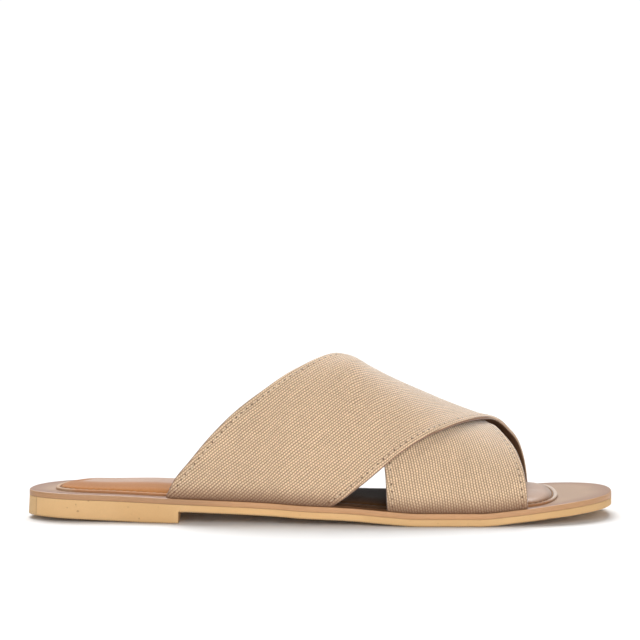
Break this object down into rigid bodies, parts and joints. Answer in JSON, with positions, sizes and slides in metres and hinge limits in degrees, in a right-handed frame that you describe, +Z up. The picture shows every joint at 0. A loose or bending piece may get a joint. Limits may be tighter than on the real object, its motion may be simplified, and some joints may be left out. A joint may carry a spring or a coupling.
{
  "type": "slip-on sandal",
  "caption": "Flat slip-on sandal with crossed canvas straps, a padded leather insole, a leather midsole and a crepe rubber sole with a low heel.",
  "frame": {"origin": "middle of the sole's length and width, on the floor that the sandal stands on", "axes": "+X towards the toe, +Y towards the inner side of the foot, +Z up"},
  "size_m": [0.256, 0.0882, 0.0709],
  "materials": {
    "crepe_rubber": "matte yellow-tan crepe rubber",
    "midsole_leather": "satin brown leather with a burnished edge",
    "pad_leather": "smooth tan leather over padding, lightly glossy",
    "strap_canvas": "beige plain-weave canvas with a brown leather lining"
  },
  "bodies": {
    "root": {"outsole": "crepe_rubber", "midsole": "midsole_leather", "insole_pad": "pad_leather", "upper": "strap_canvas"}
  },
  "joints": []
}
